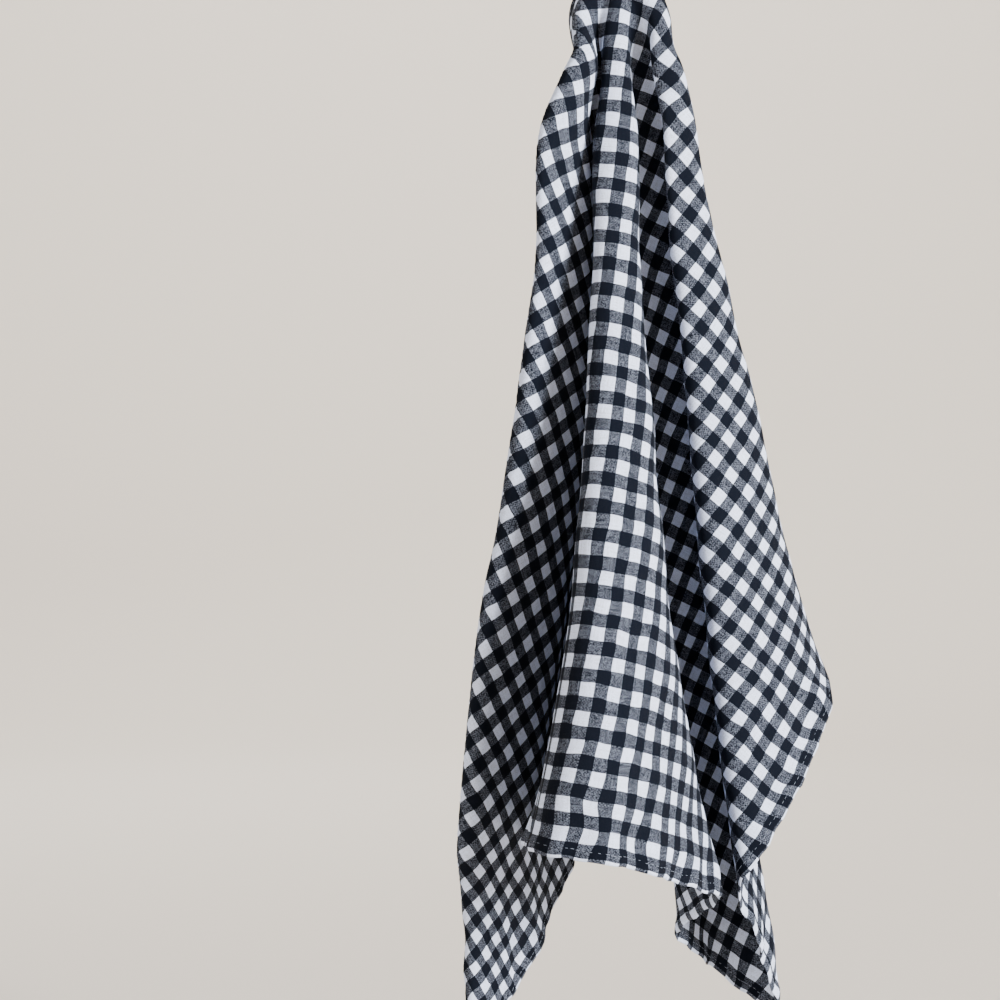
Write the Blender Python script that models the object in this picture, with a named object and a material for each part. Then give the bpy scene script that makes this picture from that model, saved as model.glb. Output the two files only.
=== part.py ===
"""A gingham tea towel hanging by the middle of its long top edge, as one thin draped solid.

Lengths are metres with +Z up. The origin is the hang point on the towel's top edge, +X is to the right
as seen from the front and +Y points away from the viewer. The cloth is worked out as a cone of folds
around the hang point: every line drawn on the flat towel from the hang point keeps its length, and a
table of folds says which way the cloth runs, seen from above, as it goes round.
"""
import math

import bmesh
import bpy
import numpy as np

# The flat towel, counted in repeats of its check (one dark stripe and one light stripe).
REPEAT = 0.0138
LEFT, RIGHT = 26.38, 25.35      # from the hang point to the two side edges, along the top edge
DROP = 32.73                    # from the top edge to the bottom edge
CLOTH = 0.0015                  # thickness of the sheet
HEM = 0.0022                    # thickness of the turned hem
HEM_WIDTH = 0.70

# Distances from the hang point, in repeats, at which the folds are told.
ANGLE_AT = (2, 5, 11, 22, 34)
RUN_AT = (1.5, 4, 8.5, 22, 34)

# A row per fold, from the left end of the top edge round to its right end.
# angle: degrees on the flat towel from straight down, at the distances ANGLE_AT.
# run: the way the cloth runs seen from above at the distances RUN_AT. 0 is to the right,
# 90 away from the viewer, -90 towards the viewer, 180 to the left.
FOLDS = (
    # name                  angle                            run
    ("left top end",         (-90, -90, -90, -90, -90),         (-62, -98, -104, -108, -108)),
    ("back left end",        (-86, -86, -85, -85, -85),         (-62, -94, -98, -100, -100)),
    ("back left run",        (-81.5, -81.5, -79.8, -79.8, -79.8), (-65, -92, -95, -95, -95)),
    ("back left turn",       (-78, -78, -76.5, -76.5, -76.5),   (-70, -92, -262, -262, -262)),
    ("back left return",     (-71.5, -71.5, -70.5, -70.5, -70.5), (-75, -92, -265, -264, -264)),
    ("left wall bottom",     (-67, -67, -67, -67, -67),         (-80, -96, -100, -100, -100)),
    ("left wall",            (-60, -60, -58, -58, -58),         (-82, -100, -100, -99, -98)),
    ("left wall front",      (-54, -56, -50, -48, -47),         (-75, -105, -101, -99, -98)),
    ("left edge",            (-48, -52, -44, -41.8, -41.3),     (-50, -90, -94, -96, -98)),
    ("left crest",           (-42, -47, -41, -39, -38.87),      (0, 37, 34, 37, 39)),
    ("left panel",           (-34, -36, -35.5, -35, -36.5),     (25, 62, 45, 52, 47)),
    ("left inner edge",      (-27, -27, -29.5, -30, -33.5),     (45, 80, 55, 64, 72)),
    ("first valley in",      (-22, -23, -25.5, -27.5, -30.5),   (50, 100, 73, 79, 80)),
    ("first valley deep",    (-17, -18.5, -22, -24, -25),       (30, 70, 68, 68, 62)),
    ("first valley floor",   (-13, -14.5, -18, -20, -20.5),     (0, -10, 0, 0, 0)),
    ("first valley out",     (-9, -10.5, -14, -16, -17),        (-30, -108, -116, -109, -130)),
    ("middle wall",          (-5, -5, -3, -2.5, -4.5),          (-40, -102, -117, -110, -91)),
    ("middle left edge",     (-2, -2, 1, 2.2, 2),               (-40, -70, -80, -86, -78)),
    ("middle left crest",    (2, 2, 3.2, 4.2, 4.5),             (-20, -15, -25, -30, -30)),
    ("middle crest",         (7, 7.5, 6.5, 7, 7.5),             (0, 12, 18, 25, 22)),
    ("middle right crest",   (13, 12.5, 10, 11.2, 12.5),        (20, 40, 42, 50, 51)),
    ("middle right edge",    (19, 17.5, 13.2, 14.8, 19.5),      (40, 80, 78, 81, 64)),
    ("second valley in",     (22, 20.5, 16.8, 18.2, 23),        (45, 90, 98, 100, 114)),
    ("second valley wall",   (24, 23, 23.5, 25, 26.5),          (40, 75, 92, 103, 114)),
    ("second valley left",   (27, 26, 26.5, 28.5, 29.5),        (30, 40, 48, 42, 68)),
    ("second valley right",  (32, 31.5, 32, 32.5, 33),          (20, 25, 36, 36, 54)),
    ("second valley floor",  (36, 36, 36.5, 36.4, 36.6),        (0, 0, 0, 5, 18)),
    ("second valley out",    (40, 40, 39.5, 38.4, 38.8),        (-20, -75, -102, -108, -108)),
    ("right wall",           (48, 48, 45, 43.8, 43),            (-30, -110, -112, -112, -108)),
    ("right inner edge",     (53, 53, 49.5, 47, 46),            (-20, -75, -85, -88, -90)),
    ("right crest",          (57, 56, 52, 49, 48),              (0, 6, 14, 14, 12)),
    ("right panel",          (61, 61, 56, 53, 51),              (10, 14, 27, 39, 32)),
    ("right outer",          (66, 65, 60, 57, 55.5),            (25, 40, 46, 49, 38)),
    ("right edge",           (70, 69, 64, 60.6, 60.5),          (42, 68, 88, 85, 80)),
    ("back right run",       (74, 74, 70, 69.5, 69),            (55, 86, 98, 100, 100)),
    ("back right wave",      (78, 78, 74, 74, 74),              (55, 96, 130, 152, 155)),
    ("back right dip",       (82, 82, 79, 79, 79),              (55, 110, 170, 240, 240)),
    ("back right rise",      (86, 86, 85, 85, 85),              (55, 115, 145, 120, 118)),
    ("right top end",        (90, 90, 90, 90, 90),              (50, 120, 140, 130, 130)),
)

# Where the line at 8 degrees on the flat towel, down the middle fold, lies from the hang point, in radians.
CREST_ANGLE = 8.0
CREST_ACROSS = (0.03, 0.03, 0.022, 0.008, -0.018)      # to the right, at ANGLE_AT
CREST_AWAY = (-0.05, -0.115, -0.15, -0.165, -0.16)      # away from the viewer, at ANGLE_AT

# The two lowest corners hang plumb instead of spreading on: drift in radians at LOWEST, none above LOW.
LOW, LOWEST = 24.0, 42.0
DRIFT = (
    # flat angle, across, away
    (-90, 0.05, 0.05),
    (-60, 0.07, 0.08),
    (-46, 0.078, 0.12),
    (-42, 0.085, 0.14),
    (-39, 0.073, 0.15),
    (-35, 0.054, 0.13),
    (-28, 0.08, 0.1),
    (-25, 0.084, 0.08),
    (-20, 0.04, 0.05),
    (-8, 0.0, 0.0),
    (0, 0.0, 0.0),
    (24, 0.0, 0.0),
    (39, -0.01, -0.12),
    (60, 0.0, 0.0),
)

# The mesh: facets per fold follow how sharply it turns; rings are told as distances and shares of the rest.
FACET = 27.0
WIDEST = 4.5
RINGS = (1.2, 2.0, 2.8, 3.6, 4.4, 5.2, 6.0, 6.8, 7.6, 8.6, 10.0, 12.0, 15.0, 18.5)
COARSE_RINGS = 2
REST = (0.25, 0.5, 0.75)
STATIONS = (0.0, 1.0, 1.5, 2.0, 2.5, 3.0, 3.5, 4.0, 4.5, 5.0, 5.5, 6.0, 6.5) + tuple(range(7, 44))


def smooth(xs, ys, x):
    """A curve through the points (xs, ys) that rises and falls only where they do."""
    xs, ys = np.asarray(xs, float), np.asarray(ys, float)
    x = np.clip(x, xs[0], xs[-1])
    gap = np.diff(xs)
    rise = np.diff(ys) / gap
    slope = np.zeros(len(xs))
    slope[0], slope[-1] = rise[0], rise[-1]
    both = rise[:-1] * rise[1:]
    same = both > 0
    slope[1:-1][same] = 2 * both[same] / (rise[:-1] + rise[1:])[same]
    i = np.clip(np.searchsorted(xs, x) - 1, 0, len(gap) - 1)
    t = (x - xs[i]) / gap[i]
    return (ys[i] * (1 + 2 * t) * (1 - t) ** 2 + gap[i] * slope[i] * t * (1 - t) ** 2
            + ys[i + 1] * t * t * (3 - 2 * t) + gap[i] * slope[i + 1] * t * t * (t - 1))


def fold_keys(distance):
    angles = np.array([smooth(ANGLE_AT, row[1], distance) for row in FOLDS])
    runs = np.array([smooth(RUN_AT, row[2], distance) for row in FOLDS])
    return angles, runs


def section(distance):
    """The cloth seen from above at one distance: flat angle, across and away, all but the first in radians."""
    angles, runs = fold_keys(distance)
    angle = np.linspace(-90, 90, 1801)
    run = np.radians(smooth(angles, runs, angle))
    step = math.radians(angle[1] - angle[0])
    across = np.concatenate([[0], np.cumsum((np.cos(run[1:]) + np.cos(run[:-1])) / 2 * step)])
    away = np.concatenate([[0], np.cumsum((np.sin(run[1:]) + np.sin(run[:-1])) / 2 * step)])
    across += smooth(ANGLE_AT, CREST_ACROSS, distance) - np.interp(CREST_ANGLE, angle, across)
    away += smooth(ANGLE_AT, CREST_AWAY, distance) - np.interp(CREST_ANGLE, angle, away)
    low = np.clip((distance - LOW) / (LOWEST - LOW), 0, 1)
    low = low * low * (3 - 2 * low)
    at = [row[0] for row in DRIFT]
    across += low * np.interp(angle, at, [row[1] for row in DRIFT])
    away += low * np.interp(angle, at, [row[2] for row in DRIFT])
    return angle, across, away


def column_shares():
    """Places along the list of folds, closer together where the cloth turns sharply."""
    angles, runs = fold_keys(22.0)
    shares = [0.0]
    for i in range(len(FOLDS) - 1):
        facets = max(math.ceil(abs(runs[i + 1] - runs[i]) / FACET),
                     math.ceil((angles[i + 1] - angles[i]) / WIDEST), 1)
        shares += [i + (k + 1) / facets for k in range(facets)]
    if len(shares) % 2 == 0:
        shares.insert(1, shares[1] / 2)
    return np.array(shares)


def edge_distance(share):
    """How far along one column the towel's edge lies."""
    near, far = 20.0, 44.0
    for _ in range(40):
        middle = (near + far) / 2
        angle = math.radians(np.interp(share, range(len(FOLDS)), fold_keys(middle)[0]))
        u, v = middle * math.sin(angle), middle * math.cos(angle)
        inside = v < DROP and -LEFT < u < RIGHT
        near, far = (middle, far) if inside else (near, middle)
    return near


def place(distance, across, away):
    """A point of the cloth in metres, from its distance and its bearing round the hang point."""
    lean = math.hypot(across, away)
    turn = math.sin(lean) / lean if lean > 1e-9 else 1.0
    return (REPEAT * distance * across * turn, REPEAT * distance * away * turn,
            -REPEAT * distance * math.cos(lean))


def fold_sheet(shares):
    """The folds at every whole distance, for each column: flat angle, across and away."""
    told = []
    for distance in STATIONS:
        angle, across, away = section(distance)
        here = np.interp(shares, range(len(FOLDS)), fold_keys(distance)[0])
        told.append((here, np.interp(here, angle, across), np.interp(here, angle, away)))
    return np.array(told)


def cloth_grid():
    """Rings of points from the hang point outwards, and how thick the cloth is at each."""
    shares = column_shares()
    told = fold_sheet(shares)
    ends = np.array([edge_distance(share) for share in shares])
    rows = [np.full(len(shares), ring) for ring in RINGS]
    last = RINGS[-1]
    inner = ends - HEM_WIDTH
    rows += [last + share * (inner - last) for share in REST]
    rows += [inner, ends]
    grid, thick = [], []
    for n, row in enumerate(rows):
        points = [place(d, np.interp(d, STATIONS, told[:, 1, i]), np.interp(d, STATIONS, told[:, 2, i]))
                  for i, d in enumerate(row)]
        if n < COARSE_RINGS:
            points = points[::2]
        grid.append(points)
        rim = [HEM if n == len(rows) - 1 else CLOTH] * len(points)
        rim[0] = rim[-1] = HEM
        thick.append(rim)
    return grid, thick


def build_towel():
    grid, thick = cloth_grid()
    start, count = [], 1
    for points in grid:
        start.append(count)
        count += len(points)
    middle = np.array([(0.0, 0.0, 0.0)] + [p for points in grid for p in points])
    width = np.array([HEM] + [t for row in thick for t in row])

    faces = [(0, start[0] + i, start[0] + i + 1) for i in range(len(grid[0]) - 1)]
    for n in range(len(grid) - 1):
        a, b = start[n], start[n + 1]
        if len(grid[n + 1]) == len(grid[n]):
            for i in range(len(grid[n]) - 1):
                faces += [(a + i, b + i, b + i + 1), (a + i, b + i + 1, a + i + 1)]
        else:
            for i in range(len(grid[n]) - 1):
                faces += [(a + i, b + 2 * i, b + 2 * i + 1), (a + i, b + 2 * i + 1, a + i + 1),
                          (a + i + 1, b + 2 * i + 1, b + 2 * i + 2)]
    tri = np.array(faces)
    out = np.cross(middle[tri[:, 1]] - middle[tri[:, 0]], middle[tri[:, 2]] - middle[tri[:, 0]])
    normal = np.zeros_like(middle)
    for corner in range(3):
        np.add.at(normal, tri[:, corner], out)
    normal /= np.linalg.norm(normal, axis=1)[:, None]

    front = middle + normal * width[:, None] / 2
    back = middle - normal * width[:, None] / 2
    total = len(middle)
    rim = [0] + [start[n] for n in range(len(grid))]
    rim += [start[-1] + i for i in range(1, len(grid[-1]))]
    rim += [start[n] + len(grid[n]) - 1 for n in range(len(grid) - 2, -1, -1)]
    faces = [tuple(f) for f in tri] + [(f[0] + total, f[2] + total, f[1] + total) for f in tri]
    for a, b in zip(rim, rim[1:] + rim[:1]):
        faces += [(b, a, a + total), (b, a + total, b + total)]

    mesh = bpy.data.meshes.new("towel")
    mesh.from_pydata([tuple(p) for p in np.vstack([front, back])], [], faces)
    work = bmesh.new()
    work.from_mesh(mesh)
    bmesh.ops.recalc_face_normals(work, faces=work.faces)
    if work.calc_volume(signed=True) < 0:
        bmesh.ops.reverse_faces(work, faces=work.faces)
    work.to_mesh(mesh)
    work.free()
    return mesh


def cotton():
    material = bpy.data.materials.new("cotton")
    material.use_nodes = True
    shader = material.node_tree.nodes["Principled BSDF"]
    shader.inputs["Base Color"].default_value = (0.32, 0.34, 0.38, 1.0)
    shader.inputs["Roughness"].default_value = 0.9
    return material


for old in list(bpy.data.objects):
    bpy.data.objects.remove(old, do_unlink=True)

towel_mesh = build_towel()
towel = bpy.data.objects.new("towel", towel_mesh)
towel_mesh.materials.append(cotton())
bpy.context.scene.collection.objects.link(towel)
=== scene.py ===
# %% [markdown]
# # A gingham tea towel, hung by the middle of its long edge
#
# This file dresses a plain solid of the towel for rendering in Blender. The solid already has the true
# size and the main folds. Here the same cloth is made again as a fine, thin, double layer with turned hems,
# a woven check that follows it, and stitches, and then it gets a floor, lights and a camera.
# The cells run in order, from the top down, and each one prints what it made or measured.

import math

import bpy
import numpy as np
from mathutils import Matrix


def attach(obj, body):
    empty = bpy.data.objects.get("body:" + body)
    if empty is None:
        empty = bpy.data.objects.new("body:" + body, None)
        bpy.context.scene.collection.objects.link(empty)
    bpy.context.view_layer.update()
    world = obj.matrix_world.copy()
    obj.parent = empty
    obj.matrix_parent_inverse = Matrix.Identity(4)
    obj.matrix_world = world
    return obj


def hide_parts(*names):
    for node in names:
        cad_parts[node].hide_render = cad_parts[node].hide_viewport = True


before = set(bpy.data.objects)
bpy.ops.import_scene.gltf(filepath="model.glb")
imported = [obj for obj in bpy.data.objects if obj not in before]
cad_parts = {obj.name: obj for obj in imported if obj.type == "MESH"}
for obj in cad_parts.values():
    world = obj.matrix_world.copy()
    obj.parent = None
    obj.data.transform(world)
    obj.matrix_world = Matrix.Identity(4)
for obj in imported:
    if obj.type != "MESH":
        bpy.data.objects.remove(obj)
bpy.ops.object.select_all(action="DESELECT")
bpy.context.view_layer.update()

# %% [markdown]
# ## The flat towel
#
# A tea towel is cut as a rectangle and hemmed on all four sides. Everything here is counted in repeats of
# its check, one dark stripe and one light one, because a woven check is a ruler printed on the cloth:
# counting squares gives a place on the towel. `u` runs along the long top edge from the hang point, to the
# right, and `v` runs down from that edge.

# %% The flat towel
REPEAT = 0.0138                 # metres from one dark stripe to the next
LEFT, RIGHT = 26.38, 25.35      # repeats from the hang point to the two side edges
DROP = 32.73                    # repeats from the top edge to the bottom edge

# %% [markdown]
# ## The folds
#
# Cloth hung from one point bends but hardly stretches, so a line drawn on it from the hang point keeps its
# length. That makes a hanging towel a cone of folds. It could come from a cloth simulation, but a
# simulation doesn't fall in one wanted set of folds, so the folds are told instead. Each row of the table is
# a line on the flat towel, given by its angle from straight down, and the way the cloth runs there
# seen from above. Adding up those runs from fold to fold draws the cloth's path round the hang point.

# %% The table of folds
ANGLE_AT = (2, 5, 11, 22, 34)       # repeats from the hang point at which the angles are told
RUN_AT = (1.5, 4, 8.5, 22, 34)      # the same for the runs: 0 is to the right, 90 away, -90 to the viewer
FOLDS = (
    # name                  angle                            run
    ("left top end",         (-90, -90, -90, -90, -90),         (-62, -98, -104, -108, -108)),
    ("back left end",        (-86, -86, -85, -85, -85),         (-62, -94, -98, -100, -100)),
    ("back left run",        (-81.5, -81.5, -79.8, -79.8, -79.8), (-65, -92, -95, -95, -95)),
    ("back left turn",       (-78, -78, -76.5, -76.5, -76.5),   (-70, -92, -262, -262, -262)),
    ("back left return",     (-71.5, -71.5, -70.5, -70.5, -70.5), (-75, -92, -265, -264, -264)),
    ("left wall bottom",     (-67, -67, -67, -67, -67),         (-80, -96, -100, -100, -100)),
    ("left wall",            (-60, -60, -58, -58, -58),         (-82, -100, -100, -99, -98)),
    ("left wall front",      (-54, -56, -50, -48, -47),         (-75, -105, -101, -99, -98)),
    ("left edge",            (-48, -52, -44, -41.8, -41.3),     (-50, -90, -94, -96, -98)),
    ("left crest",           (-42, -47, -41, -39, -38.87),      (0, 37, 34, 37, 39)),
    ("left panel",           (-34, -36, -35.5, -35, -36.5),     (25, 62, 45, 52, 47)),
    ("left inner edge",      (-27, -27, -29.5, -30, -33.5),     (45, 80, 55, 64, 72)),
    ("first valley in",      (-22, -23, -25.5, -27.5, -30.5),   (50, 100, 73, 79, 80)),
    ("first valley deep",    (-17, -18.5, -22, -24, -25),       (30, 70, 68, 68, 62)),
    ("first valley floor",   (-13, -14.5, -18, -20, -20.5),     (0, -10, 0, 0, 0)),
    ("first valley out",     (-9, -10.5, -14, -16, -17),        (-30, -108, -116, -109, -130)),
    ("middle wall",          (-5, -5, -3, -2.5, -4.5),          (-40, -102, -117, -110, -91)),
    ("middle left edge",     (-2, -2, 1, 2.2, 2),               (-40, -70, -80, -86, -78)),
    ("middle left crest",    (2, 2, 3.2, 4.2, 4.5),             (-20, -15, -25, -30, -30)),
    ("middle crest",         (7, 7.5, 6.5, 7, 7.5),             (0, 12, 18, 25, 22)),
    ("middle right crest",   (13, 12.5, 10, 11.2, 12.5),        (20, 40, 42, 50, 51)),
    ("middle right edge",    (19, 17.5, 13.2, 14.8, 19.5),      (40, 80, 78, 81, 64)),
    ("second valley in",     (22, 20.5, 16.8, 18.2, 23),        (45, 90, 98, 100, 114)),
    ("second valley wall",   (24, 23, 23.5, 25, 26.5),          (40, 75, 92, 103, 114)),
    ("second valley left",   (27, 26, 26.5, 28.5, 29.5),        (30, 40, 48, 42, 68)),
    ("second valley right",  (32, 31.5, 32, 32.5, 33),          (20, 25, 36, 36, 54)),
    ("second valley floor",  (36, 36, 36.5, 36.4, 36.6),        (0, 0, 0, 5, 18)),
    ("second valley out",    (40, 40, 39.5, 38.4, 38.8),        (-20, -75, -102, -108, -108)),
    ("right wall",           (48, 48, 45, 43.8, 43),            (-30, -110, -112, -112, -108)),
    ("right inner edge",     (53, 53, 49.5, 47, 46),            (-20, -75, -85, -88, -90)),
    ("right crest",          (57, 56, 52, 49, 48),              (0, 6, 14, 14, 12)),
    ("right panel",          (61, 61, 56, 53, 51),              (10, 14, 27, 39, 32)),
    ("right outer",          (66, 65, 60, 57, 55.5),            (25, 40, 46, 49, 38)),
    ("right edge",           (70, 69, 64, 60.6, 60.5),          (42, 68, 88, 85, 80)),
    ("back right run",       (74, 74, 70, 69.5, 69),            (55, 86, 98, 100, 100)),
    ("back right wave",      (78, 78, 74, 74, 74),              (55, 96, 130, 152, 155)),
    ("back right dip",       (82, 82, 79, 79, 79),              (55, 110, 170, 240, 240)),
    ("back right rise",      (86, 86, 85, 85, 85),              (55, 115, 145, 120, 118)),
    ("right top end",        (90, 90, 90, 90, 90),              (50, 120, 140, 130, 130)),
)

# Where the line at 8 degrees on the flat towel, down the middle fold, lies from the hang point, in radians.
CREST_ANGLE = 8.0
CREST_ACROSS = (0.03, 0.03, 0.022, 0.008, -0.018)      # to the right, at ANGLE_AT
CREST_AWAY = (-0.05, -0.115, -0.15, -0.165, -0.16)      # away from the viewer, at ANGLE_AT

# The two lowest corners hang plumb instead of spreading on: drift in radians at LOWEST, none above LOW.
LOW, LOWEST = 24.0, 42.0
DRIFT = (
    # flat angle, across, away
    (-90, 0.05, 0.05),
    (-60, 0.07, 0.08),
    (-46, 0.078, 0.12),
    (-42, 0.085, 0.14),
    (-39, 0.073, 0.15),
    (-35, 0.054, 0.13),
    (-28, 0.08, 0.1),
    (-25, 0.084, 0.08),
    (-20, 0.04, 0.05),
    (-8, 0.0, 0.0),
    (0, 0.0, 0.0),
    (24, 0.0, 0.0),
    (39, -0.01, -0.12),
    (60, 0.0, 0.0),
)

print("lines told across the towel:", len(FOLDS))

# %% [markdown]
# ## From the table to points in space
#
# Between the told lines the angle and the run have to change smoothly, but without swinging past the told
# values, or a fold would grow a ripple of its own. A cubic curve whose slope is flat at every high and low
# point does that. Stepping across the towel and adding up the runs gives its outline seen from above, at
# one distance from the hang point.

# %% Reading the folds
STEPS = 1800                    # across the towel, from -90 to 90 degrees


def smooth(xs, ys, x):
    """A curve through the points (xs, ys) that rises and falls only where they do."""
    xs, ys = np.asarray(xs, float), np.asarray(ys, float)
    x = np.clip(x, xs[0], xs[-1])
    gap = np.diff(xs)
    rise = np.diff(ys) / gap
    slope = np.zeros(len(xs))
    slope[0], slope[-1] = rise[0], rise[-1]
    both = rise[:-1] * rise[1:]
    same = both > 0
    slope[1:-1][same] = 2 * both[same] / (rise[:-1] + rise[1:])[same]
    i = np.clip(np.searchsorted(xs, x) - 1, 0, len(gap) - 1)
    t = (x - xs[i]) / gap[i]
    return (ys[i] * (1 + 2 * t) * (1 - t) ** 2 + gap[i] * slope[i] * t * (1 - t) ** 2
            + ys[i + 1] * t * t * (3 - 2 * t) + gap[i] * slope[i + 1] * t * t * (t - 1))


def fold_keys(distance):
    """The flat angle and the run of every told line, at one distance."""
    angles = np.array([smooth(ANGLE_AT, row[1], distance) for row in FOLDS])
    runs = np.array([smooth(RUN_AT, row[2], distance) for row in FOLDS])
    return angles, runs


def section(distance):
    """The cloth seen from above at one distance: flat angle in degrees, across and away in radians."""
    angles, runs = fold_keys(distance)
    angle = np.linspace(-90, 90, STEPS + 1)
    run = np.radians(smooth(angles, runs, angle))
    step = math.radians(angle[1] - angle[0])
    across = np.concatenate([[0], np.cumsum((np.cos(run[1:]) + np.cos(run[:-1])) / 2 * step)])
    away = np.concatenate([[0], np.cumsum((np.sin(run[1:]) + np.sin(run[:-1])) / 2 * step)])
    across += smooth(ANGLE_AT, CREST_ACROSS, distance) - np.interp(CREST_ANGLE, angle, across)
    away += smooth(ANGLE_AT, CREST_AWAY, distance) - np.interp(CREST_ANGLE, angle, away)
    low = np.clip((distance - LOW) / (LOWEST - LOW), 0, 1)
    low = low * low * (3 - 2 * low)
    at = [row[0] for row in DRIFT]
    across += low * np.interp(angle, at, [row[1] for row in DRIFT])
    away += low * np.interp(angle, at, [row[2] for row in DRIFT])
    return angle, across, away


across_at_30 = section(30.0)[1] * 30.0 * REPEAT * 1000
print(f"30 repeats down, the folds lie from {across_at_30.min():.0f} to {across_at_30.max():.0f} mm across")

# %% [markdown]
# Working out one outline takes 1800 steps, and the fine cloth has tens of thousands of points. So the
# outlines are worked out once, every half repeat or closer, and each point is read from the two nearest.

# %% Hanging a point of the flat towel
DISTANCES = np.concatenate([np.arange(0, 8, 0.25), np.arange(8, 45, 0.5)])
outlines = [section(distance) for distance in DISTANCES]
ACROSS = np.array([outline[1] for outline in outlines])
AWAY = np.array([outline[2] for outline in outlines])


def hang(u, v):
    """Points of the flat towel, in repeats, at their places in the hanging towel, in metres."""
    distance = np.hypot(u, v)
    bearing = (np.degrees(np.arctan2(u, v)) + 90) * STEPS / 180
    row = np.clip(np.searchsorted(DISTANCES, distance, side="right") - 1, 0, len(DISTANCES) - 2)
    down = (distance - DISTANCES[row]) / (DISTANCES[row + 1] - DISTANCES[row])
    column = np.clip(bearing.astype(int), 0, ACROSS.shape[1] - 2)
    along = bearing - column

    def read(table):
        near = table[row, column] * (1 - along) + table[row, column + 1] * along
        far = table[row + 1, column] * (1 - along) + table[row + 1, column + 1] * along
        return near * (1 - down) + far * down

    across, away = read(ACROSS), read(AWAY)
    lean = np.hypot(across, away)
    turn = np.sinc(lean / np.pi)
    return REPEAT * distance[..., None] * np.stack([across * turn, away * turn, -np.cos(lean)], axis=-1)


lowest = hang(np.array([-LEFT, RIGHT]), np.array([DROP, DROP]))
print("the two low corners, in mm:", (lowest * 1000).round().tolist())

# %% [markdown]
# ## What keeps the cloth from looking like sheet metal
#
# Washed cotton is never quite smooth. It has soft dents two or three fingers wide, it is gathered wherever
# a seam holds it, and fine creases run down from the place where it is held. Smooth random numbers make all
# three: a coarse grid of them, seeded so that every run gives the same cloth, blended between its points.
# They push the cloth in or out by half a millimetre as a rule, and by three at the most. The gathers are
# strongest at the hem itself, because a seam always draws up the cloth a little, and die out over a few
# squares. The seam also pulls the check about, so the flat towel's points are moved before they are hung.

# %% Random numbers and edges
LATTICE = 96                # random values each way, after which they repeat
EDGE_APART = 50.0           # added to the places on each next edge, so that no two edges wrinkle alike


def soft_noise(x, y, seed):
    """Smooth random values from -1 to 1, one independent value for each whole step of x and y."""
    lattice = np.random.default_rng(seed).uniform(-1, 1, (LATTICE, LATTICE))
    left, low = np.floor(x).astype(int), np.floor(y).astype(int)
    sx, sy = x - left, y - low
    sx, sy = sx * sx * (3 - 2 * sx), sy * sy * (3 - 2 * sy)

    def at(i, j):
        return lattice[(left + i) % LATTICE, (low + j) % LATTICE]

    return (at(0, 0) * (1 - sx) + at(1, 0) * sx) * (1 - sy) + (at(0, 1) * (1 - sx) + at(1, 1) * sx) * sy


def to_edge(u, v):
    """How far inside the towel's edge a point lies, in repeats, and its place along that edge."""
    sides = np.stack([u + LEFT, RIGHT - u, v, DROP - v])
    nearest = sides.argmin(axis=0)
    return sides.min(axis=0), np.where(nearest < 2, v, u) + EDGE_APART * nearest


print("random values from one seed:", soft_noise(np.arange(3.0), np.zeros(3), 1).round(2).tolist())

# %% Dents, gathers and creases
# heights in metres
DENT, SMALL_DENT, CREASE = 0.0010, 0.0005, 0.0004
SEAM_GATHER, WIDE_GATHER = 0.0010, 0.0018
# how far the seams draw the cloth inwards, evenly and unevenly, and along themselves, in repeats
INWARD, INWARD_CLOSE, INWARD_WIDE, ALONG = 0.03, 0.07, 0.05, 0.26
NUDGE = 0.05                # repeats to the next point, where the cloth's direction is measured


def relief(u, v):
    """How far the cloth stands proud of its smooth folds, in metres."""
    distance = np.hypot(u, v)
    bearing = np.degrees(np.arctan2(u, v))
    inside, place = to_edge(u, v)
    # a place is divided by the width of its dent, in repeats, or by the angle between creases, in degrees
    dents = DENT * soft_noise(u / 2.9 + 0.3 * v / 2.9, v / 2.3, 1)
    dents += SMALL_DENT * soft_noise(u / 1.2, v / 1.7, 2)
    gather = SEAM_GATHER * soft_noise(place / 0.62, inside * 0.4, 3) * np.exp(-(inside / 1.0) ** 2)
    gather += WIDE_GATHER * soft_noise(place / 1.05, inside * 0.3, 4) * np.exp(-(inside / 2.8) ** 2)
    crease = CREASE * soft_noise(bearing / 3.1, distance / 7.0, 5) * np.exp(-((distance - 5) / 5) ** 2)
    return (dents + gather + crease) * np.clip((distance - 0.8) / 3.0, 0, 1)


def drawn_up(u, v):
    """Where on the flat towel a point moves to, because its seam draws the cloth up unevenly."""
    inside, place = to_edge(u, v)
    at_side = np.minimum(u + LEFT, RIGHT - u) < np.minimum(v, DROP - v)
    inward = INWARD + INWARD_CLOSE * soft_noise(place / 0.55, 0 * place, 6)
    inward += INWARD_WIDE * soft_noise(place / 1.3, 0 * place, 7)
    inward *= np.exp(-(inside / 0.8) ** 2) * np.clip((np.hypot(u, v) - 2) / 3, 0, 1)
    to_corner = np.where(at_side, np.minimum(v, DROP - v), np.minimum(u + LEFT, RIGHT - u))
    along = ALONG * soft_noise(place / 1.2, inside / 1.1, 8) * np.exp(-(inside / 3.0) ** 2)
    along *= np.clip(to_corner / 1.5, 0, 1)
    u_inward = np.where(u < 0, inward, -inward)
    v_inward = np.where(v < DROP / 2, inward, -inward)
    return u + np.where(at_side, u_inward, along), v + np.where(at_side, along, v_inward)


def cloth_point(u, v):
    """The middle of the cloth, with its dents, and the way its front faces."""
    u, v = drawn_up(u, v)
    along = hang(u + NUDGE, v) - hang(u - NUDGE, v)
    down = hang(u, v + NUDGE) - hang(u, v - NUDGE)
    front = np.cross(down, along)
    front /= np.linalg.norm(front, axis=-1)[..., None] + 1e-12
    return hang(u, v) + front * relief(u, v)[..., None], front


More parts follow.
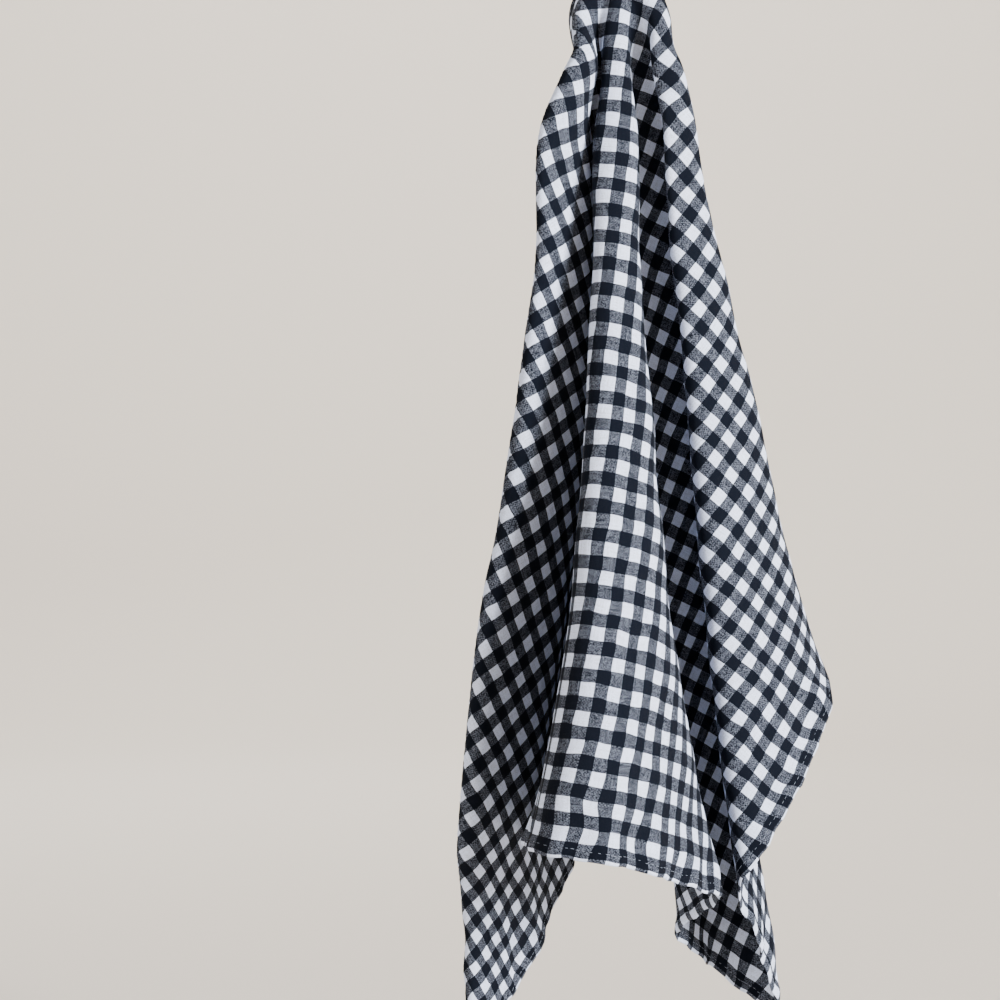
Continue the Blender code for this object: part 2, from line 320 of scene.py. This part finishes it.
sample_u, sample_v = np.meshgrid(np.linspace(-LEFT, RIGHT, 200), np.linspace(0, DROP, 200))
heights = abs(relief(sample_u, sample_v)) * 1000
print(f"dents and gathers: {np.median(heights):.1f} mm as a rule, {heights.max():.1f} mm at the most")

# %% [markdown]
# ## The cloth and its hems
#
# The cloth is one piece: a grid of points, a front and a back half a thickness either side of it, and a rim
# that closes them. The grid's lines follow the threads, so the hem's fold and the row of stitches fall on
# grid lines, and they lie closer together at the edges and under the hang point, where the shape is
# busiest. The hem is the cloth's own edge, turned over to the back and sewn down, so it is nearly twice as
# thick, is pinched where the thread pulls it in, and on the back shows the check running backwards.

# %% Grid lines across and down
HEM = 0.52                  # width of the turned hem, in repeats
SEAM = 0.365                # how far the stitches lie inside the edge, in repeats
NEAR_EDGE = np.array([0.0, 0.05, 0.12, 0.2, 0.285, SEAM, 0.445, HEM - 0.02, HEM + 0.02, 0.66, 0.82])


def grid_lines(low, high, busy):
    """Places from low to high, in repeats, close at both ends and round the busy place."""
    lines = [low + NEAR_EDGE[-1]]
    while lines[-1] < high - NEAR_EDGE[-1]:
        here = lines[-1]
        calm = min(here - low, high - here) / 4
        away = abs(here - busy) / 9
        lines.append(here + min(0.17 + 0.08 * min(calm, 1), 0.115 + 0.14 * min(away, 1)))
    inner = np.array(lines)
    span = high - low - 2 * NEAR_EDGE[-1]
    inner = low + NEAR_EDGE[-1] + (inner - inner[0]) * span / (inner[-1] - inner[0])
    return np.concatenate([low + NEAR_EDGE[:-1], inner, high - NEAR_EDGE[-2::-1]])


across_lines = grid_lines(-LEFT, RIGHT, 0.5)
down_lines = grid_lines(0.0, DROP, 0.0)
print("grid:", len(across_lines), "by", len(down_lines))

# %% The two faces of the cloth
grid_u, grid_v = np.meshgrid(across_lines, down_lines)
middle, front_way = cloth_point(grid_u, grid_v)
edge = to_edge(grid_u, grid_v)[0]

# how thick the cloth is to the front and the back of its middle, at places inside the edge
PROFILE = (
    # repeats inside the edge, front, back, in metres
    (0.0, 0.0001, 0.0001),
    (0.05, 0.0004, 0.0004),
    (0.12, 0.0007, 0.0008),
    (0.285, 0.0008, 0.0010),
    (SEAM, 0.0006, 0.0007),
    (0.445, 0.0008, 0.0010),
    (HEM, 0.0006, 0.0009),
    (HEM + 0.04, 0.0005, 0.0005),
)
inside, front, back = zip(*PROFILE)
front_half = np.interp(edge, inside, front)
back_half = np.interp(edge, inside, back)


def pinched(u, v):
    """How much of its thickness the cloth keeps where it is squeezed at the hang point."""
    return np.clip(0.25 + 0.5 * np.hypot(u, v), 0, 1)[..., None]


front_face = middle + front_way * front_half[..., None] * pinched(grid_u, grid_v)
back_face = middle - front_way * back_half[..., None] * pinched(grid_u, grid_v)
thickness = (front_half + back_half) * 1000
print(f"cloth {np.median(thickness):.1f} mm thick, hem {thickness.max():.1f} mm")

# %% The cloth as one closed mesh
number = np.arange(grid_u.size).reshape(grid_u.shape)
a, b, c, d = number[:-1, :-1], number[1:, :-1], number[1:, 1:], number[:-1, 1:]
front_quads = np.stack([a, b, c, d], axis=-1).reshape(-1, 4)
back_quads = np.stack([a, d, c, b], axis=-1).reshape(-1, 4) + grid_u.size
rim = np.concatenate([number[:, 0], number[-1, 1:], number[-2::-1, -1], number[0, -2::-1]])
rim_quads = np.stack([rim[1:], rim[:-1], rim[:-1] + grid_u.size, rim[1:] + grid_u.size], axis=-1)
quads = np.concatenate([front_quads, back_quads, rim_quads])
cloth_points = np.concatenate([front_face.reshape(-1, 3), back_face.reshape(-1, 3)])

cloth_mesh = bpy.data.meshes.new("towel_cloth")
cloth_mesh.from_pydata(cloth_points.tolist(), [], quads.tolist())
cloth_mesh.validate()
towel_cloth = bpy.data.objects.new("towel_cloth", cloth_mesh)
bpy.context.scene.collection.objects.link(towel_cloth)
cloth_mesh.shade_smooth()
print("towel_cloth:", 2 * len(quads), "triangles")

# %% [markdown]
# ### A map of the cloth
#
# The check has to follow the folds, so the material reads a UV map that simply holds each point's place on
# the flat towel, in repeats. On the back of the hem the cloth has been folded over, so there the
# map carries on past the edge, and the check comes out mirrored, as it does on a real hem.

# %% The map of the cloth
corner = quads.reshape(-1) % grid_u.size
map_u, map_v = grid_u.reshape(-1)[corner], grid_v.reshape(-1)[corner]
quad_u, quad_v = map_u.reshape(-1, 4).mean(axis=1), map_v.reshape(-1, 4).mean(axis=1)
turned = np.zeros(len(quads), bool)
turned[len(front_quads):len(front_quads) + len(back_quads)] = True
for near, wall, which in ((quad_u + LEFT, -LEFT, "u"), (RIGHT - quad_u, RIGHT, "u"),
                          (quad_v, 0.0, "v"), (DROP - quad_v, DROP, "v")):
    folded = np.repeat(turned & (near < HEM + 0.02), 4)
    if which == "u":
        map_u = np.where(folded, 2 * wall - map_u, map_u)
    else:
        map_v = np.where(folded, 2 * wall - map_v, map_v)
cloth_map = cloth_mesh.uv_layers.new(name="cloth")
cloth_map.data.foreach_set("uv", np.stack([map_u, map_v], axis=-1).reshape(-1).astype(np.float32))
print("faces on the back of the top hem:", int((turned & (quad_v < HEM + 0.02)).sum()))

# %% [markdown]
# ## The stitches
#
# The hems are held by a lockstitch in bleached cotton, which shows as a row of short dashes on both faces.
# One stitch is made from a small sphere, stretched, and copied at every step along the four seams. A dash two
# or three millimetres long needs only a few faces, because there are over a thousand of them.

# %% One stitch
STITCH, GAP, THREAD = 0.0024, 0.0009, 0.00023      # metres: length, gap to the next, thickness
FRONT_LIFT, BACK_LIFT = 0.00062, 0.00072            # metres from the middle of the cloth to the thread's

bpy.ops.mesh.primitive_uv_sphere_add(segments=6, ring_count=4, radius=0.5)
stitch = bpy.context.object
bpy.ops.object.mode_set(mode="EDIT")
bpy.ops.mesh.select_all(action="SELECT")
bpy.ops.transform.rotate(value=math.pi / 2, orient_axis="Y", center_override=(0, 0, 0))
bpy.ops.transform.resize(value=(STITCH, THREAD, THREAD), center_override=(0, 0, 0))
bpy.ops.object.mode_set(mode="OBJECT")
stitch_points = np.array([vertex.co[:] for vertex in stitch.data.vertices])
stitch_faces = [tuple(face.vertices) for face in stitch.data.polygons]
bpy.data.objects.remove(stitch, do_unlink=True)
print("one stitch:", (np.ptp(stitch_points, axis=0) * 1000).round(2).tolist(), "mm")

# %% Every stitch
OFF_LINE = 0.012                                    # repeats that a stitch strays from its seam, more or less
pitch = (STITCH + GAP) / REPEAT
seams = (
    ("top", (-LEFT + SEAM, SEAM), (RIGHT - SEAM, SEAM)),
    ("bottom", (-LEFT + SEAM, DROP - SEAM), (RIGHT - SEAM, DROP - SEAM)),
    ("left side", (-LEFT + SEAM, SEAM), (-LEFT + SEAM, DROP - SEAM)),
    ("right side", (RIGHT - SEAM, SEAM), (RIGHT - SEAM, DROP - SEAM)),
)
all_points, all_faces = [], []
wander = np.random.default_rng(11)
for name, start, end in seams:
    start, end = np.array(start), np.array(end)
    length = np.linalg.norm(end - start)
    count = int(length / pitch)
    way = (end - start) / length
    places = start + way * (np.arange(count)[:, None] + 0.5) * length / count
    places += np.array([-way[1], way[0]]) * wander.normal(0, OFF_LINE, (count, 1))
    u, v = places.T
    centre, outward = cloth_point(u, v)
    ahead = hang(u + way[0] * NUDGE, v + way[1] * NUDGE) - hang(u, v)
    ahead -= outward * (ahead * outward).sum(axis=1)[:, None]
    ahead /= np.linalg.norm(ahead, axis=1)[:, None]
    sideways = np.cross(outward, ahead)
    for side, lift in ((1, FRONT_LIFT), (-1, BACK_LIFT)):
        base = centre + outward * side * lift * pinched(u, v)
        if side < 0:
            base = base + ahead * (STITCH + GAP) / 2
        points = (base[:, None] + ahead[:, None] * stitch_points[None, :, :1]
                  + sideways[:, None] * stitch_points[None, :, 1:2]
                  + outward[:, None] * stitch_points[None, :, 2:])
        first = sum(len(block) for block in all_points)
        all_points.append(points.reshape(-1, 3))
        all_faces += [tuple(first + k * len(stitch_points) + i for i in face)
                      for k in range(count) for face in stitch_faces]
    print(name, "seam:", count, "stitches a side")

stitch_mesh = bpy.data.meshes.new("hem_stitches")
stitch_mesh.from_pydata(np.concatenate(all_points).tolist(), [], all_faces)
stitch_mesh.shade_smooth()
hem_stitches = bpy.data.objects.new("hem_stitches", stitch_mesh)
bpy.context.scene.collection.objects.link(hem_stitches)
print("stitches on both faces:", len(all_faces) // len(stitch_faces))

# %% [markdown]
# ## Woven gingham cotton
#
# Gingham is plain weave with dyed and undyed yarns in equal stripes both ways. Where two dark stripes cross
# the cloth is dark, where two white ones cross it is white, and elsewhere dark and white yarns take turns,
# which the eye blends to a speckled grey. The material does the same: it counts the yarns both ways, finds
# the colour of each, and lets the upright and the level yarn take turns on top.
#
# The real yarns are about 0.5 mm apart. Here they are drawn 0.69 mm apart, 20 to a repeat, because finer
# ones can't be told apart in the picture. In a mixed square no yarn keeps its own shade: the thin
# white ones let the dark ones below them show, and loose fibres of both colours lie across. So these squares
# are darker than half way, and heathered instead of evenly chequered.

# %% Tools for materials
def linear(code):
    """An sRGB hex colour as the linear values that Blender's shaders take."""
    red_green_blue = [int(code[i:i + 2], 16) / 255 for i in (1, 3, 5)]
    return [value / 12.92 if value <= 0.04045 else ((value + 0.055) / 1.055) ** 2.4
            for value in red_green_blue] + [1.0]


def add(tree, kind, inputs, output=0, **settings):
    """Adds one shader node, sets or links its inputs, and gives back one of its outputs."""
    node = tree.nodes.new("ShaderNode" + kind)
    for name, value in settings.items():
        setattr(node, name, value)
    for socket, value in inputs.items():
        if isinstance(value, bpy.types.NodeSocket):
            tree.links.new(value, node.inputs[socket])
        else:
            node.inputs[socket].default_value = value
    return node.outputs[output]


print("half-way grey in linear values:", [round(value, 3) for value in linear("#808080")])

# %% The gingham's finish
YARNS = 20                              # to a repeat
FIRST_STRIPE = 0.35                     # repeats from the top edge to the middle of the first dark stripe
DARK, WHITE = "#0a0e17", "#d5e0fb"
# how many grains of each random pattern lie in a repeat, with their width
WANDERING = 0.9                         # 15 mm, how the yarns bend
CRINKLES = 1.5                          # 9 mm
FLECKS = 19.0                           # 0.7 mm
FIBRES = 34.0                           # 0.4 mm, coarser than real fibres, which would not show

# dyed and bleached cotton, plain woven and washed: matt, with a soft bloom of loose fibre at the edges
gingham = bpy.data.materials.new("woven_gingham_cotton")
gingham.use_nodes = True
tree = gingham.node_tree
shader = tree.nodes["Principled BSDF"]
shader.inputs["Roughness"].default_value = 0.92
shader.inputs["Specular IOR Level"].default_value = 0.05
shader.inputs["Sheen Weight"].default_value = 0.01
shader.inputs["Sheen Roughness"].default_value = 0.5
grains = [round(REPEAT * 1000 / count, 1) for count in (WANDERING, CRINKLES, FLECKS, FIBRES)]
print("material:", gingham.name, "with patterns of", grains, "mm")

# %% Where each yarn lies
flat_place = add(tree, "UVMap", {}, uv_map="cloth")
# the yarns bend to each side, by up to a millimetre
wander_by = add(tree, "TexNoise", {"Vector": flat_place, "Scale": WANDERING, "Detail": 1.0}, output="Color")
wander_by = add(tree, "VectorMath", {0: wander_by, 1: (0.5, 0.5, 0.5)}, operation="SUBTRACT")
wander_by = add(tree, "VectorMath", {0: wander_by, "Scale": 0.18}, operation="SCALE")
yarn_place = add(tree, "VectorMath", {0: flat_place, 1: wander_by}, operation="ADD")
place_u = add(tree, "SeparateXYZ", {0: yarn_place}, output="X")
place_v = add(tree, "SeparateXYZ", {0: yarn_place}, output="Y")
place_v = add(tree, "Math", {0: place_v, 1: FIRST_STRIPE}, operation="SUBTRACT")


def yarns(place, seed):
    """The yarns along one direction: which yarn, whether it is dark, its own shade and its round top."""
    counted = add(tree, "Math", {0: place, 1: YARNS}, operation="MULTIPLY")
    index = add(tree, "Math", {0: counted}, operation="FLOOR")
    centre = add(tree, "Math", {0: index, 1: 1 / YARNS, 2: 0.5 / YARNS + 0.5}, operation="MULTIPLY_ADD")
    stripe = add(tree, "Math", {0: centre}, operation="FRACT")
    from_dark = add(tree, "Math", {0: stripe, 1: 0.5}, operation="SUBTRACT")
    from_dark = add(tree, "Math", {0: from_dark}, operation="ABSOLUTE")
    is_dark = add(tree, "Math", {0: from_dark, 1: 0.25}, operation="LESS_THAN")
    seeded = add(tree, "Math", {0: index, 1: seed}, operation="ADD")
    shade = add(tree, "TexWhiteNoise", {"W": seeded}, noise_dimensions="1D")
    half_turns = add(tree, "Math", {0: counted, 1: math.pi}, operation="MULTIPLY")
    round_over = add(tree, "Math", {0: half_turns}, operation="SINE")
    return index, is_dark, shade, round_over


upright, upright_dark, upright_shade, upright_round = yarns(place_u, 0.3)
level, level_dark, level_shade, level_round = yarns(place_v, 70.3)
print("yarns drawn", round(REPEAT / YARNS * 1000, 2), "mm apart")

# %% Which yarn is on top
# the two waves multiply to a chequerboard: where they agree the upright yarn is on top, else the level one
crossing = add(tree, "Math", {0: upright_round, 1: level_round}, operation="MULTIPLY")
# fibres that lie across the yarn on top let the other colour through
fibre = add(tree, "TexNoise", {"Vector": yarn_place, "Scale": FIBRES, "Detail": 3.0, "Roughness": 0.7})
loose = add(tree, "Math", {0: fibre, 1: 3.0, 2: -1.0}, operation="MULTIPLY_ADD")
on_top = add(tree, "Math", {0: crossing, 1: 1.1, 2: loose}, operation="MULTIPLY_ADD", use_clamp=True)
dark = add(tree, "Mix", {0: on_top, 2: level_dark, 3: upright_dark})
shade = add(tree, "Mix", {0: on_top, 2: level_shade, 3: upright_shade})

# thick and thin places about 7 mm long, shared by a yarn and the one beside it
STRETCH, SLUBS = 2.6, 0.73
along_v = add(tree, "Math", {0: place_v, 1: STRETCH}, operation="MULTIPLY")
along_u = add(tree, "Math", {0: place_u, 1: STRETCH}, operation="MULTIPLY")
upright_slub = add(tree, "CombineXYZ", {"X": upright, "Y": along_v})
upright_slub = add(tree, "TexNoise", {"Vector": upright_slub, "Scale": SLUBS, "Detail": 2.0})
level_slub = add(tree, "CombineXYZ", {"X": along_u, "Y": level})
level_slub = add(tree, "TexNoise", {"Vector": level_slub, "Scale": SLUBS, "Detail": 2.0})
slub = add(tree, "Mix", {0: on_top, 2: level_slub, 3: upright_slub})
print("slubs about", round(REPEAT / STRETCH / SLUBS * 1000, 1), "mm long")

# %% How dark the cloth is at each place
# 0 is white and 1 dark: 0 in a white square, 1 in a dark one, and from 0.85 to 0.91 in a mixed one
mixed = add(tree, "Math", {0: upright_dark, 1: level_dark}, operation="SUBTRACT")
mixed = add(tree, "Math", {0: mixed}, operation="ABSOLUTE")
own_shade = add(tree, "Math", {0: mixed, 1: -0.94, 2: 1.0}, operation="MULTIPLY_ADD")
own_shade = add(tree, "Math", {0: dark, 1: own_shade}, operation="MULTIPLY")
tint = add(tree, "Math", {0: mixed, 1: 0.85, 2: own_shade}, operation="MULTIPLY_ADD")
# slubs and loose fibres shift it either way: by their full amount in a white square, by 38 hundredths of it
# in a mixed one and by 5 hundredths in a dark one
uneven = add(tree, "Math", {0: slub, 1: 0.80, 2: -0.75}, operation="MULTIPLY_ADD")
uneven = add(tree, "Math", {0: fibre, 1: 0.95, 2: uneven}, operation="MULTIPLY_ADD")
all_dark = add(tree, "Math", {0: upright_dark, 1: level_dark}, operation="MULTIPLY")
share = add(tree, "Math", {0: all_dark, 1: -0.95, 2: 1.0}, operation="MULTIPLY_ADD")
share = add(tree, "Math", {0: mixed, 1: -0.62, 2: share}, operation="MULTIPLY_ADD")
uneven = add(tree, "Math", {0: uneven, 1: share}, operation="MULTIPLY")
uneven = add(tree, "Math", {0: shade, 1: 0.02, 2: uneven}, operation="MULTIPLY_ADD")
# and in a mixed square the two colours lie in flecks
fleck = add(tree, "TexNoise", {"Vector": yarn_place, "Scale": FLECKS, "Detail": 1.5, "Roughness": 0.6})
fleck = add(tree, "Math", {0: fleck, 1: 0.5}, operation="SUBTRACT")
fleck = add(tree, "Math", {0: fleck, 1: mixed}, operation="MULTIPLY")
uneven = add(tree, "Math", {0: fleck, 1: 0.36, 2: uneven}, operation="MULTIPLY_ADD")
tint = add(tree, "Math", {0: tint, 1: uneven}, operation="ADD", use_clamp=True)
colour = add(tree, "Mix", {0: tint, 6: linear(WHITE), 7: linear(DARK)}, output=2, data_type="RGBA")
tree.links.new(colour, shader.inputs["Base Color"])
print("nodes in the gingham:", len(tree.nodes))

# %% [markdown]
# The yarns also stand up from the cloth by a fraction of a millimetre. A bump is enough for that: it tilts
# the light's angle without adding any mesh. Each crossing is rounded over the yarn on top, and the fibre
# noise makes it slightly hairy. Washing also leaves shallow crinkles about a square wide, too small for the
# mesh, so they are bump as well.

# %% The raised weave
upright_height = add(tree, "Math", {0: upright_round}, operation="ABSOLUTE")
level_height = add(tree, "Math", {0: level_round}, operation="ABSOLUTE")
height = add(tree, "Mix", {0: on_top, 2: level_height, 3: upright_height})
height = add(tree, "Math", {0: fibre, 1: 0.9, 2: height}, operation="MULTIPLY_ADD")
height = add(tree, "Math", {0: slub, 1: 0.8, 2: height}, operation="MULTIPLY_ADD")
crinkle = add(tree, "TexNoise", {"Vector": flat_place, "Scale": CRINKLES, "Detail": 2.0, "Roughness": 0.6})
height = add(tree, "Math", {0: crinkle, 1: 7.0, 2: height}, operation="MULTIPLY_ADD")
bump = add(tree, "Bump", {"Strength": 0.5, "Distance": 0.00025, "Height": height})
tree.links.new(bump, shader.inputs["Normal"])
cloth_mesh.materials.append(gingham)
print("nodes with the bump:", len(tree.nodes))

# %% [markdown]
# ## Cotton thread
#
# The seams are sewn in bleached cotton thread. It is smoother and tighter than the cloth's yarns, so it is a
# little less matt, and it has no pattern of its own at this size. It is coloured a grey that is darker than
# the white squares.

# %% The thread
thread = bpy.data.materials.new("bleached_cotton_thread")
thread.use_nodes = True
thread_shader = thread.node_tree.nodes["Principled BSDF"]
thread_shader.inputs["Base Color"].default_value = linear("#7c8494")
thread_shader.inputs["Roughness"].default_value = 0.75
stitch_mesh.materials.append(thread)
print("material:", thread.name)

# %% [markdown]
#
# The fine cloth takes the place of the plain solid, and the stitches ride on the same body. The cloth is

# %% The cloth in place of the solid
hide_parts("towel")
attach(towel_cloth, "root")
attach(hem_stitches, "root")

# %% [markdown]
# ## A plain place to look at it
#
# The towel hangs over a pale floor that sweeps up into a wall all round, so no line of a horizon crosses
# the picture from any side. It starts as a disc, its edge is then drawn outwards and up in small steps
# along a quarter circle, and last it goes straight up.

# %% Floor
FLOOR, FLAT_RADIUS, BEND, WALL = -0.66, 2.4, 1.6, 2.4      # metres: its height, flat part, bend and wall
BEND_STEPS = 9
bpy.ops.object.select_all(action="DESELECT")
bpy.ops.mesh.primitive_circle_add(vertices=96, radius=FLAT_RADIUS, fill_type="NGON", location=(0, 0, FLOOR))
floor = bpy.context.object
floor.name = "floor"
bpy.ops.object.transform_apply(location=True, rotation=True, scale=True)
bpy.ops.object.mode_set(mode="EDIT")
bpy.ops.mesh.select_all(action="SELECT")
bpy.ops.mesh.region_to_loop()
radius, height_now = FLAT_RADIUS, 0.0
for step in range(1, BEND_STEPS + 1):
    turn = step / BEND_STEPS * math.pi / 2
    next_radius = FLAT_RADIUS + BEND * math.sin(turn)
    next_height = BEND * (1 - math.cos(turn))
    bpy.ops.mesh.extrude_edges_move()
    bpy.ops.transform.resize(value=(next_radius / radius, next_radius / radius, 1), center_override=(0, 0, 0))
    bpy.ops.transform.translate(value=(0, 0, next_height - height_now))
    radius, height_now = next_radius, next_height
bpy.ops.mesh.extrude_edges_move()
bpy.ops.transform.translate(value=(0, 0, WALL))
bpy.ops.object.mode_set(mode="OBJECT")
floor.data.shade_smooth()

# painted board: matt and nearly white, a little warm
board = bpy.data.materials.new("matt_painted_board")
board.use_nodes = True
board_shader = board.node_tree.nodes["Principled BSDF"]
board_shader.inputs["Base Color"].default_value = linear("#ded6cb")
board_shader.inputs["Roughness"].default_value = 0.95
floor.data.materials.append(board)
print("floor rises to", round(max(vertex.co.z for vertex in floor.data.vertices), 2), "m")

# %% [markdown]
# ## Light
#
# In the photograph the light comes softly from the right and a little from the front and above: the middle
# fold throws its shadow on the cloth to the left of it, the valley to its right is nearly black, and the
# two low corners, which nothing covers, are bright. One large lamp on the right makes that, and a weak one
# on the left keeps the folds in its shade from going black. A third shines from behind on the back of the
# towel, and a fourth lights the wall, so that the cloth stands out against it. The sky fills in a little.

# %% Lamps and sky
MIDDLE = (0.0, 0.0, -0.28)          # of the hanging towel
LAMPS = (
    # name, place, what it points at, size in metres, watts
    ("key", (2.3, -1.65, 0.25), MIDDLE, 0.9, 270.0),
    ("fill", (-2.2, -1.9, 0.2), MIDDLE, 1.6, 46.0),
    ("back", (-0.9, 1.9, 1.2), MIDDLE, 1.4, 40.0),
    ("wall", (0.0, 2.2, 1.9), (0.0, 4.0, -0.3), 1.6, 60.0),
)
for name, place, target, size, watts in LAMPS:
    bpy.ops.object.light_add(type="AREA", location=place)
    lamp = bpy.context.object
    lamp.name = name
    lamp.data.size, lamp.data.energy = size, watts
    towards = np.array(target) - np.array(place)
    lamp.rotation_euler = (math.acos(-towards[2] / np.linalg.norm(towards)), 0.0,
                           math.atan2(towards[1], towards[0]) - math.pi / 2)
    print(name, "lamp", watts, "W")

world = bpy.data.worlds.new("studio")
bpy.context.scene.world = world
world.use_nodes = True
sky = world.node_tree.nodes["Background"]
sky.inputs["Color"].default_value = linear("#e4e8ee")
sky.inputs["Strength"].default_value = 0.09

# %% [markdown]
# ## Camera
#
# The picture is taken level, a little left of the hang point and at half the towel's height, from just over
# a metre away. The lens is long enough that the square picture is 0.51 m wide at the towel.

# %% Camera
FROM_TOWEL = 1.15               # metres
SENSOR, LENS = 36.0, 80.7       # millimetres
bpy.ops.object.camera_add(location=(-0.059, -FROM_TOWEL, -0.274), rotation=(math.pi / 2, 0, 0))
camera = bpy.context.object
camera.data.sensor_width = SENSOR
camera.data.lens = LENS
bpy.context.scene.camera = camera
print("view at the towel:", round(FROM_TOWEL * SENSOR / LENS, 3), "m wide")
